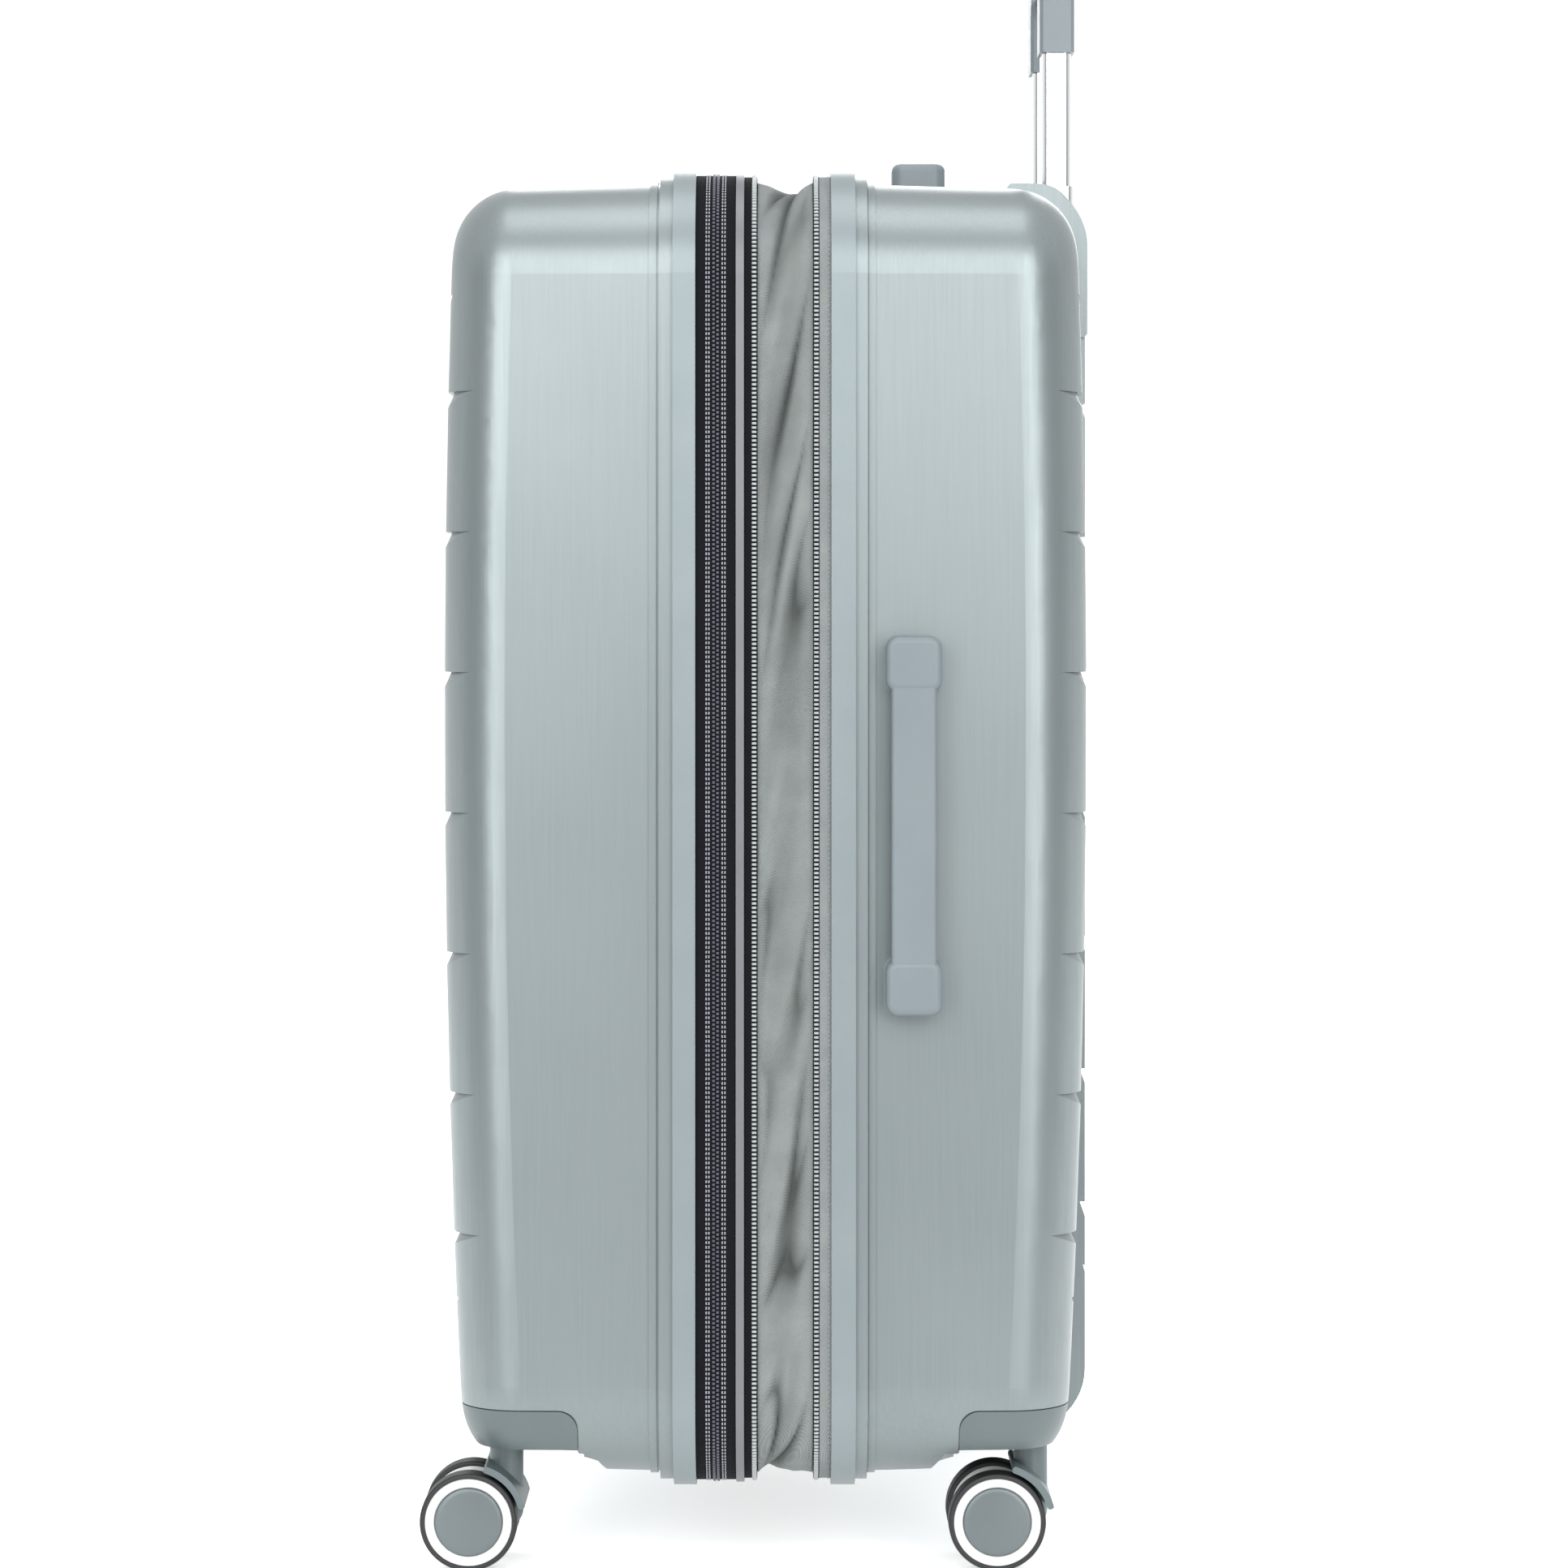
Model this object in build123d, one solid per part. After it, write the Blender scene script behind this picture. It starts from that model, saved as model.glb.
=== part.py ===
from build123d import *
import os
from math import sqrt, tan, radians

# Hard shell suitcase standing on four twin-wheel casters, zip expansion open.
# X runs from the lid (-X) to the trolley side (+X), Y from the side-handle side (-Y)
# to the hinge side (+Y), Z up. The origin is on the floor under the middle of the case.

# ---- overall case -------------------------------------------------------
HALF_WIDTH = 255.0            # case middle to the outside of a rim, along Y
RIM_BOTTOM, RIM_TOP = 43.5, 787.5
MID_Z = (RIM_BOTTOM + RIM_TOP) / 2
HALF_HEIGHT = (RIM_TOP - RIM_BOTTOM) / 2
OUTLINE_CORNER = 62.0         # rim corner radius, looking along X
WALL = 3.0                    # shell wall
SHELL_INSET = 7.5             # shell side, in from the rim outline
DRAFT = 1.7                   # shell sides lean in towards the face, degrees
FACE_CORNER = 37.0            # rounding between the face and the sides

# ---- stations along X, from the lid to the trolley side -------------------
LID_FACE = -176.5
LID_BEAD = (-60.3, -56.1)
LID_STEP = (-54.6, -47.0)
LID_RIM = (-47.0, -34.4)
LID_ZIP = (-34.4, -23.2)
MID_ZIP = (-23.0, -11.9)
MID_FRAME = (-11.9, -7.4)
MID_EXPANSION_ZIP = (-7.4, -0.2)
GUSSET = (0.1, 31.1)
REAR_EXPANSION_ZIP = (31.4, 41.3)
REAR_RIM = (41.3, 54.8)
REAR_STEP = (54.8, 61.5)
REAR_BEAD = (62.0, 66.0)
REAR_FACE = 185.5
SPINE_FACE = 193.0            # flat raised band over the trolley tubes
SPINE_HALF, SPINE_WALL = 82.0, 4.1

# ---- crowned faces and their ribs ------------------------------------------
CROWN_Z = 477.5
CROWN_RADIUS = {-1: 7900.0, 1: 7400.0}
RIB_TOP, RIB_PITCH, RIB_COUNT = 661.0, 78.6, 7
RIB_DEPTH, RIB_BEVEL = 4.0, 10.0
PANEL_EDGES = (716.0, 152.0)
PANEL_DEPTH, PANEL_BEVEL = 1.5, 6.0
BEVEL_LEAD = 0.5              # a bevel starts this far outside the face

# ---- casters ------------------------------------------------------------------
STEM_X = {"front": -142.0, "rear": 154.5}
STEM_Y = 200.0
TRAIL = 20.0                  # wheel axis behind the swivel axis, towards -X
WHEEL_RADIUS, RIM_RADIUS = 27.3, 24.6
WHEEL_INNER, WHEEL_OUTER = 12.3, 28.0
AXLE_RADIUS, PIN_RADIUS, FIT = 3.0, 5.0, 0.05
COLUMN_RADIUS = 9.5
FENDER_INNER, FENDER_OUTER = 29.2, 33.0
FENDER_FROM, FENDER_TO = 14.0, 74.0
PIN_TOP, COLLAR_TOP = 86.0, 68.0
HOUSING_BOTTOM, HOUSING_TOP = 68.4, 92.0
HOUSING_INNER_Y = 143.0
HOUSING_INNER_X = {"front": -100.5, "rear": 113.0}
WELL_RADIUS = 57.0
SEAM_WIDTH, SEAM_DEPTH = 0.7, 1.4

# ---- trolley --------------------------------------------------------------------
TROLLEY_X, TUBE_SPACING = 177.5, 100.0
TUBE_X, TUBE_Y = 17.5, 24.0
TUBE_WALL, TUBE_GAP = 1.2, 0.2
INNER_TUBE_Z = (215.0, 900.0)
MIDDLE_TUBE_Z = (125.0, 791.4)
SLEEVE_Z = (104.0, 735.0)
EXIT_Z = (738.0, 812.0)        # slots the tubes leave through
BEZEL_HALF, BEZEL_TOP, BEZEL_FACE = 85.0, 791.0, 194.2
GRIP_X, GRIP_HALF, GRIP_Z = 20.5, 66.0, (871.0, 946.0)
GRIP_LEG, GRIP_BAR = 31.0, 33.0

# ---- carry handles ----------------------------------------------------------------
HANDLE_LENGTH, HANDLE_RISE = 210.0, 22.0
CAP_LENGTH, CAP_WIDTH = 31.0, 31.0
STRAP_WIDTH, STRAP_THICK = 25.0, 7.0
HANDLE_REST = 2.4             # underside of the caps above the shell wall
LEG = (16.0, 14.0, 20.0)      # leg width, length along the handle, depth in the case
SIDE_HANDLE_X, SIDE_HANDLE_Z = 86.7, 419.0
TOP_HANDLE_X = 94.0

# ---- lock and zip pulls on the lid's top ----------------------------------------------
LOCK_X, LOCK_SIZE, LOCK_DEPTH = -81.5, (30.0, 84.0), 14.0
LOCK_RISE = 3.4               # lock plate above the lid
DIAL_RADIUS, DIAL_THICK = 6.6, 5.0
DIAL_Y = (-8.0, 0.0, 8.0)
PULL_X, PULL_Z, PULL_Y = -28.0, 790.6, (-17.0, 36.5)
PULL_LENGTH, PULL_TILT = 50.0, 4.5

os.makedirs("parts", exist_ok=True)


def block(x0, x1, y0, y1, z0, z1):
    """Box between six planes."""
    return Pos((x0 + x1) / 2, (y0 + y1) / 2, (z0 + z1) / 2) * Box(x1 - x0, y1 - y0, z1 - z0)


def outline(x, inset, side=1):
    """The case's rounded outline on the plane at x, facing outwards."""
    place = Plane(origin=(x, 0, MID_Z), x_dir=(0, side, 0), z_dir=(side, 0, 0))
    width, height = 2 * (HALF_WIDTH - inset), 2 * (HALF_HEIGHT - inset)
    return place * RectangleRounded(width, height, OUTLINE_CORNER - inset)


def ring(span, outer, inner):
    """Band round the case between two insets from the rim outline."""
    length = span[1] - span[0]
    return extrude(outline(span[0], outer), length) - extrude(outline(span[0], inner), length)


def face_x(side, face, z):
    """X of the crowned face at height z; the trolley band is flat."""
    radius = CROWN_RADIUS[side]
    if face == SPINE_FACE:
        return face
    return face - side * (radius - sqrt(radius ** 2 - (z - CROWN_Z) ** 2))


def form(side, start, inset, face, corner):
    """Drafted block with a crowned, rounded face: the shape of one half of the case."""
    radius = CROWN_RADIUS[side]
    body = extrude(outline(start, inset, side), 170, taper=DRAFT)
    if abs(face) > SPINE_FACE - SPINE_WALL - 1:
        body &= block(-face, face, -300, 300, 0, 900)
    else:
        body &= Pos(face - side * radius, 0, CROWN_Z) * Rot(90, 0, 0) * Cylinder(radius, 700)
    rim = body.faces().sort_by(Axis.X)[-1 if side > 0 else 0].edges()
    return fillet(rim, corner)


def rib_lines():
    """Height, depth and bevel of every line across a face."""
    ribs = [(RIB_TOP - n * RIB_PITCH, RIB_DEPTH, RIB_BEVEL) for n in range(RIB_COUNT)]
    return ribs + [(z, PANEL_DEPTH, PANEL_BEVEL) for z in PANEL_EDGES]


def groove(side, face, z, depth, bevel, half=HALF_WIDTH - 3.0):
    """A sharp ledge with a bevel below it, fading out round the face's corners."""
    x = abs(face_x(side, face, z))
    slab = block(-x - 8, x + 8, -half - 9, half + 9, z - bevel, z)
    over = depth + BEVEL_LEAD
    core = RectangleRounded(2 * (x + BEVEL_LEAD), 2 * (half + BEVEL_LEAD), FACE_CORNER + over)
    core = extrude(Pos(0, 0, z - bevel) * core, bevel, taper=Vector(bevel, over).get_angle(Vector(1, 0)))
    cut = slab - core
    return cut & (block(-400, -100, -400, 400, 0, 900) if side < 0 else block(100, 400, -400, 400, 0, 900))


def half_shell(side, start, face, spine=None):
    """Thin wall of one half with its ribs, which show inside as well."""
    outer = form(side, start, SHELL_INSET, face, FACE_CORNER)
    inner = form(side, start - side, SHELL_INSET + WALL, face - side * WALL, FACE_CORNER - WALL)
    for z, depth, bevel in rib_lines():
        outer -= groove(side, face, z, depth, bevel)
        if depth == RIB_DEPTH:
            inner -= groove(side, face - side * WALL, z, depth, bevel, HALF_WIDTH - 3.0 - WALL)
    if spine:
        raised = form(side, start, SHELL_INSET, spine, FACE_CORNER)
        hollow = form(side, start - side, SHELL_INSET + WALL, spine - SPINE_WALL, FACE_CORNER - WALL)
        for z, depth, bevel in rib_lines():
            raised -= groove(side, spine, z, 0.75 * depth, bevel)
        outer += raised & block(100, 400, -SPINE_HALF, SPINE_HALF, 0, 900)
        reach = SPINE_HALF - WALL
        inner += hollow & block(90, 400 - WALL, -reach, reach, 0, 900)
    return outer, inner


def export(name, solid):
    """Write one node."""
    export_step(solid, f"parts/{name}.step")


# ---- lid and rear shells -------------------------------------------------------------
def housing_space(end, side, grow=0.0):
    """Corner of the case that a caster housing fills."""
    x, y = HOUSING_INNER_X[end], HOUSING_INNER_Y - grow
    spans = (-230, x + grow) if end == "front" else (x - grow, 230)
    ys = (y, 300) if side > 0 else (-300, -y)
    corner = block(*spans, *ys, 0, HOUSING_TOP + grow)
    edges = corner.edges().filter_by(Axis.Y).sort_by(Axis.Z)[-2:]
    inner = edges.sort_by(Axis.X)[-1 if end == "front" else 0]
    return fillet(inner, 11.0)


def wheel_well(end, side, grow=0.0):
    """Room that a caster sweeps as it swivels."""
    height = HOUSING_BOTTOM - 2.4 + grow
    return Pos(STEM_X[end], side * STEM_Y, height / 2) * Cylinder(WELL_RADIUS + grow, height)


def seat_caster(shell, outer, end, side):
    """Cut the corner for a housing, with a fine seam round it, and wall the wheel's well."""
    sign, face, start = (-1, LID_FACE, LID_RIM[0]) if end == "front" else (1, REAR_FACE, REAR_RIM[1])
    space = housing_space(end, side)
    core = form(sign, start, SHELL_INSET + SEAM_DEPTH, face - sign * SEAM_DEPTH, FACE_CORNER - SEAM_DEPTH)
    seam = (housing_space(end, side, SEAM_WIDTH) - space) - core
    wall = (wheel_well(end, side, WALL) & outer) - space
    return (shell + wall) - [space, wheel_well(end, side), seam]


def handle_frame(which):
    """Local frame of a carry handle: width X, length Y, out of the case Z."""
    if which == "top":
        drop = (TOP_HANDLE_X - REAR_RIM[1]) * tan(radians(DRAFT))
        return Pos(TOP_HANDLE_X, 0, RIM_TOP - SHELL_INSET - drop)
    drop = (SIDE_HANDLE_X - REAR_RIM[1]) * tan(radians(DRAFT))
    return Pos(SIDE_HANDLE_X, -HALF_WIDTH + SHELL_INSET + drop, SIDE_HANDLE_Z) * Rot(90, 0, 0)


LEG_Y = (HANDLE_LENGTH - CAP_LENGTH) / 2


def handle_guides(grow):
    """The two leg guides, grown by a margin."""
    depth = LEG[2] + 10
    size = (LEG[0] + 2 * grow, LEG[1] + 2 * grow)
    guides = [Pos(0, y, -depth / 2 + 2) * Box(*size, depth) for y in (-LEG_Y, LEG_Y)]
    return guides[0] + guides[1]


def tube(size_x, size_y, z, wall=TUBE_WALL):
    """Upright rectangular tube on its own axis."""
    height = z[1] - z[0]
    outer = Pos(0, 0, z[0]) * extrude(RectangleRounded(size_x, size_y, 4.5), height)
    inner = RectangleRounded(size_x - 2 * wall, size_y - 2 * wall, 4.5 - wall)
    return outer - Pos(0, 0, z[0] - 1) * extrude(inner, height + 2)


def lock_space(margin=0.0):
    """Recess in the lid's top for the lock."""
    half_x, half_y = LOCK_SIZE[0] / 2 - margin, LOCK_SIZE[1] / 2 - margin
    return block(LOCK_X - half_x, LOCK_X + half_x, -half_y, half_y, 760, 800)


lid_outer, lid_inner = half_shell(-1, LID_RIM[0], LID_FACE)
rear_outer, rear_inner = half_shell(1, REAR_RIM[1], REAR_FACE, SPINE_FACE)

lid_shell = lid_outer - lid_inner + ring(LID_STEP, 3.2, SHELL_INSET + WALL)
lid_shell += ring(LID_BEAD, SHELL_INSET - 0.9, SHELL_INSET + 1)
rear_shell = rear_outer - rear_inner + ring(REAR_STEP, 3.2, SHELL_INSET + WALL)
rear_shell += ring(REAR_BEAD, SHELL_INSET - 0.9, SHELL_INSET + 1)

for side in (-1, 1):
    lid_shell = seat_caster(lid_shell, lid_outer, "front", side)
    rear_shell = seat_caster(rear_shell, rear_outer, "rear", side)
for which in ("top", "side"):
    rear_shell -= handle_frame(which) * handle_guides(2.0)

tube_places = [Pos(TROLLEY_X, y, 0) for y in (-TUBE_SPACING / 2, TUBE_SPACING / 2)]
step = 2 * (TUBE_WALL + TUBE_GAP)
middle_size = (TUBE_X + step, TUBE_Y + step)
sleeve_size = (middle_size[0] + step - 0.6, middle_size[1] + step)
exit_slot = Pos(0, 0, sum(EXIT_Z) / 2) * Box(middle_size[0] + 0.5, middle_size[1] + 0.5, EXIT_Z[1] - EXIT_Z[0])
for place in tube_places:
    rear_shell -= place * exit_slot
lid_shell -= lock_space()

export("lid_shell", lid_shell)
export("rear_shell", rear_shell)
export("lid_rim", ring(LID_RIM, 0, SHELL_INSET + WALL))
export("rear_rim", ring(REAR_RIM, 0, SHELL_INSET + WALL))
export("mid_frame", ring(MID_FRAME, 1.5, SHELL_INSET + WALL))
export("mid_zip", ring(MID_ZIP, 2.8, 6.5))
export("mid_expansion_zip", ring(MID_EXPANSION_ZIP, 3.6, 7.0))
export("rear_expansion_zip", ring(REAR_EXPANSION_ZIP, 3.6, 7.0))
export("gusset", ring(GUSSET, 6.5, 9.5))


# ---- side runners the case lies on ---------------------------------------------------------
def runner(x, outer):
    """Rubber bar along the hinge side, standing just proud of the rims."""
    bar = block(x - 9, x + 9, HALF_WIDTH - 18, HALF_WIDTH + 4.5, MID_Z - 170, MID_Z + 170)
    top = bar.faces().sort_by(Axis.Y)[-1]
    return fillet(top.edges(), 4.0) - outer


export("lid_runner", runner(-112.0, lid_outer))
export("rear_runner", runner(118.0, rear_outer))


# ---- casters -------------------------------------------------------------------------------
def housing(end, side, outer):
    """Corner cup with the boss that the swivel pin turns in."""
    stem = Pos(STEM_X[end], side * STEM_Y, HOUSING_BOTTOM)
    space = housing_space(end, side)
    body = (outer & space) & block(-300, 300, -300, 300, HOUSING_BOTTOM, 200)
    pocket = block(-58, 38, -52, 50, 0, 19.5) if end == "front" else block(-38, 40, -52, 50, 0, 19.5)
    inset = Pos(4.0 if end == "front" else -4.0, -side * 5.0, 4.0) * (outer & space)
    well = (stem * pocket if side > 0 else stem * mirror(pocket, Plane.XZ)) & inset
    body -= well
    body += stem * Pos(0, 0, 9.75) * Cylinder(13.0, 19.5)
    return body - stem * Pos(0, 0, 9.5) * Cylinder(PIN_RADIUS + FIT, 19.0)


def fork():
    """Swivel pin, column, arm to the axle and the fender over both wheels."""
    axis = Pos(-TRAIL, 0, WHEEL_RADIUS) * Rot(90, 0, 0)
    body = Pos(0, 0, (30 + COLLAR_TOP) / 2) * Cylinder(COLUMN_RADIUS, COLLAR_TOP - 30)
    body += Pos(0, 0, (PIN_TOP + 60) / 2) * Cylinder(PIN_RADIUS, PIN_TOP - 60)
    body += axis * Cylinder(COLUMN_RADIUS, 2 * COLUMN_RADIUS)
    body += block(-TRAIL, 0, -COLUMN_RADIUS, COLUMN_RADIUS, WHEEL_RADIUS - 6, WHEEL_RADIUS + COLUMN_RADIUS)
    body += Pos(0, 0, 30) * Sphere(COLUMN_RADIUS)
    arc = CenterArc((0, 0), (FENDER_INNER + FENDER_OUTER) / 2, FENDER_FROM, FENDER_TO - FENDER_FROM)
    fender = extrude(Plane.XZ * trace(arc, FENDER_OUTER - FENDER_INNER), WHEEL_OUTER, both=True)
    fender = Pos(-TRAIL, 0, WHEEL_RADIUS) * fender
    ends = fender.edges().filter_by(Axis.Y)
    body += fillet(ends, 1.5)
    return body - axis * Cylinder(AXLE_RADIUS, 60)


def tyre(turn):
    """Soft tread round one wheel."""
    width = WHEEL_OUTER - WHEEL_INNER
    tread = Cylinder(WHEEL_RADIUS, width)
    tread = fillet(tread.edges().filter_by(GeomType.CIRCLE), 1.6)
    tread -= Cylinder(RIM_RADIUS, width + 2)
    return Pos(-TRAIL, turn * (WHEEL_INNER + WHEEL_OUTER) / 2, WHEEL_RADIUS) * Rot(90, 0, 0) * tread


def hub(turn):
    """Wheel body with a blind bore for the axle and a domed outer disc."""
    width = WHEEL_OUTER - WHEEL_INNER
    core = Cylinder(RIM_RADIUS, width) - Pos(0, 0, 8.5) * (Cylinder(RIM_RADIUS - 1.6, width)
                                                         - Cylinder(19.0, width))
    core -= Pos(0, 0, -2.2) * Cylinder(AXLE_RADIUS + FIT, width)
    lie = Rot(90, 0, 0) if turn < 0 else Rot(-90, 0, 0)
    return Pos(-TRAIL, turn * (WHEEL_INNER + WHEEL_OUTER) / 2, WHEEL_RADIUS) * lie * core


for end in ("front", "rear"):
    for side, name in ((-1, "near"), (1, "far")):
        place = Pos(STEM_X[end], side * STEM_Y, 0)
        shell = lid_outer if end == "front" else rear_outer
        export(f"{end}_{name}_housing", housing(end, side, shell))
        export(f"{end}_{name}_fork", place * fork())
        rod = Rot(90, 0, 0) * Cylinder(AXLE_RADIUS, 2 * WHEEL_OUTER - 5.2)
        export(f"{end}_{name}_axle", place * Pos(-TRAIL, 0, WHEEL_RADIUS) * rod)
        for turn, letter in ((-1, "a"), (1, "b")):
            export(f"{end}_{name}_tyre_{letter}", place * tyre(turn))
            export(f"{end}_{name}_hub_{letter}", place * hub(turn))

# ---- trolley -------------------------------------------------------------------------------
sleeves = block(TROLLEY_X - 10.5, TROLLEY_X + 9.5, -72, 72, SLEEVE_Z[0], SLEEVE_Z[0] + 12)
for place in tube_places:
    sleeves += place * tube(*sleeve_size, (SLEEVE_Z[0] + 11, SLEEVE_Z[1]), TUBE_WALL - 0.3)
export("trolley_sleeves", sleeves)

with BuildSketch(Plane.XZ) as bezel_side:
    with BuildLine():
        Polyline((147, 768), (147, BEZEL_TOP - 2), (149, BEZEL_TOP), (164, BEZEL_TOP))
        Spline((164, BEZEL_TOP), (185, BEZEL_TOP - 12), (BEZEL_FACE, 754), tangents=((1, 0), (0, -1)))
        Polyline((BEZEL_FACE, 754), (BEZEL_FACE, 702), (BEZEL_FACE - 2, 700), (180, 700), (180, 768), (147, 768))
    make_face()
bezel = extrude(bezel_side.sketch, BEZEL_HALF, both=True) - rear_outer
for place in tube_places:
    bezel -= place * exit_slot
export("trolley_bezel", bezel)

for place, name in zip(tube_places, ("near", "far")):
    export(f"trolley_middle_tube_{name}", place * tube(*middle_size, MIDDLE_TUBE_Z))
    export(f"trolley_inner_tube_{name}", place * tube(TUBE_X, TUBE_Y, INNER_TUBE_Z))

grip = block(-GRIP_X / 2, GRIP_X / 2, -GRIP_HALF, GRIP_HALF, *GRIP_Z)
grip = fillet(grip.edges().filter_by(Axis.X).sort_by(Axis.Z)[-2:], 20.0)
gap = GRIP_HALF - GRIP_LEG
arch = block(-30, 30, -gap, gap, GRIP_Z[0] - 10, GRIP_Z[1] - GRIP_BAR)
grip -= fillet(arch.edges().filter_by(Axis.X).sort_by(Axis.Z)[-2:], 12.0)
grip = Pos(TROLLEY_X, 0, 0) * chamfer(grip.edges().filter_by(GeomType.CIRCLE), 2.0)
for place in tube_places:
    grip -= place * Pos(0, 0, 885) * Box(TUBE_X, TUBE_Y, 30.0)
button_place = Pos(TROLLEY_X, 0, GRIP_Z[1])
grip -= button_place * Pos(0, 0, -4.5) * extrude(RectangleRounded(11, 38, 5.0), 14, both=True)
export("trolley_grip", grip)
cap = extrude(RectangleRounded(10.4, 37.4, 4.7), 9.5)
cap = fillet(cap.faces().sort_by(Axis.Z)[-1].edges(), 1.2)
export("trolley_button", button_place * Pos(0, 0, -7.0) * cap)


# ---- carry handles -------------------------------------------------------------------------
def handle():
    """Strap between two end caps, on legs that slide in the case."""
    top = HANDLE_RISE
    body = Pos(0, 0, top - STRAP_THICK / 2 - 0.4) * Box(STRAP_WIDTH, HANDLE_LENGTH - 10, STRAP_THICK)
    body = fillet(body.edges().filter_by(Axis.Y), 2.4)
    for y in (-LEG_Y, LEG_Y):
        end_cap = Pos(0, y, (top + HANDLE_REST) / 2) * Box(CAP_WIDTH, CAP_LENGTH, top - HANDLE_REST)
        end_cap = fillet(end_cap.edges().filter_by(Axis.Z), 7.0)
        end_cap = fillet(end_cap.faces().sort_by(Axis.Z)[-1].edges(), 4.0)
        body += end_cap
        body += Pos(0, y, (HANDLE_REST - LEG[2]) / 2 + 1) * Box(LEG[0], LEG[1], LEG[2] + HANDLE_REST + 2)
    return body


def handle_base(frame, outer):
    """Two plates on the shell, their leg guides and the bar that ties them inside."""
    body = handle_guides(2.0)
    for y in (-LEG_Y, LEG_Y):
        plate = Pos(0, y, -2.0) * Box(CAP_WIDTH + 2, CAP_LENGTH + 2, 8.0)
        body += fillet(plate.edges().filter_by(Axis.Z), 7.5)
    placed = (frame * body) - (outer - frame * handle_guides(2.0))
    bar = Pos(0, 0, -9.0) * Box(LEG[0] + 4, HANDLE_LENGTH - 20, 3.0)
    placed += frame * bar
    return placed - frame * handle_guides(0.15)


for which in ("top", "side"):
    frame = handle_frame(which)
    export(f"{which}_handle", frame * handle())
    export(f"{which}_handle_base", handle_base(frame, rear_outer))

# ---- combination lock -----------------------------------------------------------------------
lock_top = RIM_TOP - SHELL_INSET - (LID_RIM[0] - LOCK_X) * tan(radians(DRAFT)) + LOCK_RISE
lock = lock_space() & block(-200, 0, -100, 100, lock_top - LOCK_DEPTH, lock_top)
lock = fillet(lock.edges().filter_by(Axis.Z), 4.0)
lock += (lock_space(-3.0) & block(-200, 0, -100, 100, lock_top - LOCK_RISE - 1, lock_top - 1)) - lid_outer
dial_z = lock_top - DIAL_RADIUS + 1.4
slot = block(LOCK_X - 7.2, LOCK_X + 7.2, DIAL_Y[0] - 4.2, DIAL_Y[-1] + 4.2, lock_top - 13.0, 800)
lock -= slot
pin = Pos(LOCK_X, 0, dial_z) * Rot(90, 0, 0) * Cylinder(1.5, 26)
lock += pin
button_well = Pos(LOCK_X, 26, lock_top - 8) * extrude(RectangleRounded(14, 12, 3), 30)
lock -= button_well
for y in PULL_Y:
    lock -= block(LOCK_X - 2, LOCK_X + 20, y - 2.4, y + 2.4, lock_top - 3.2, 800)
export("lock_body", lock)
for n, y in enumerate(DIAL_Y):
    dial = Cylinder(DIAL_RADIUS, DIAL_THICK) - Cylinder(1.5 + FIT, DIAL_THICK + 2)
    for k in range(10):
        dial -= Rot(0, 0, 36 * k) * Pos(DIAL_RADIUS, 0, 0) * Cylinder(0.7, DIAL_THICK + 2)
    export(f"lock_dial_{n + 1}", Pos(LOCK_X, y, dial_z) * Rot(90, 0, 0) * dial)
key = extrude(RectangleRounded(13.4, 11.4, 2.8), 7.0)
key = fillet(key.faces().sort_by(Axis.Z)[-1].edges(), 0.8)
export("lock_button", Pos(LOCK_X, 26, lock_top - 5.6) * key)


# ---- zip sliders and their pulls ----------------------------------------------------------------
def zip_slider(y):
    """Slider on the lid's half of the zip, with the ears and pin of its pull."""
    body = block(PULL_X - 4, LID_ZIP[1], y - 5.4, y + 5.4, RIM_TOP - 3.0, RIM_TOP + 0.2)
    for ear in (-1, 1):
        body += block(PULL_X - 2, PULL_X + 2, y + ear * 4.8 - 0.6, y + ear * 4.8 + 0.6, RIM_TOP, PULL_Z + 1.8)
    return body + Pos(PULL_X, y, PULL_Z) * Rot(90, 0, 0) * Cylinder(0.9, 10)


def zip_pull():
    """Metal tab from the slider across the rim, its peg in the lock's slot."""
    tab = fillet(block(-PULL_LENGTH - 4, -1, -3.8, 3.8, -1.4, 0.4).edges().filter_by(Axis.Z), 2.6)
    tab -= block(-PULL_LENGTH + 4, -12, -1.8, 1.8, -3, 3)
    tab += Rot(90, 0, 0) * Cylinder(1.9, 7.6)
    tab += Pos(-PULL_LENGTH, 0, -2.4) * Cylinder(1.6, 3.6)
    return Rot(0, -PULL_TILT, 0) * (tab - Rot(90, 0, 0) * Cylinder(0.9 + FIT, 9))


lid_zip = ring(LID_ZIP, 2.8, 6.5)
for name, y in (("near", PULL_Y[0]), ("far", PULL_Y[1])):
    lid_zip += zip_slider(y)
    export(f"zip_pull_{name}", Pos(PULL_X, y, PULL_Z) * zip_pull())
export("lid_zip", lid_zip)
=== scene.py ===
from math import cos, pi, sin, sqrt

import bmesh
import bpy
from mathutils import Matrix, Vector, noise


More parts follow.
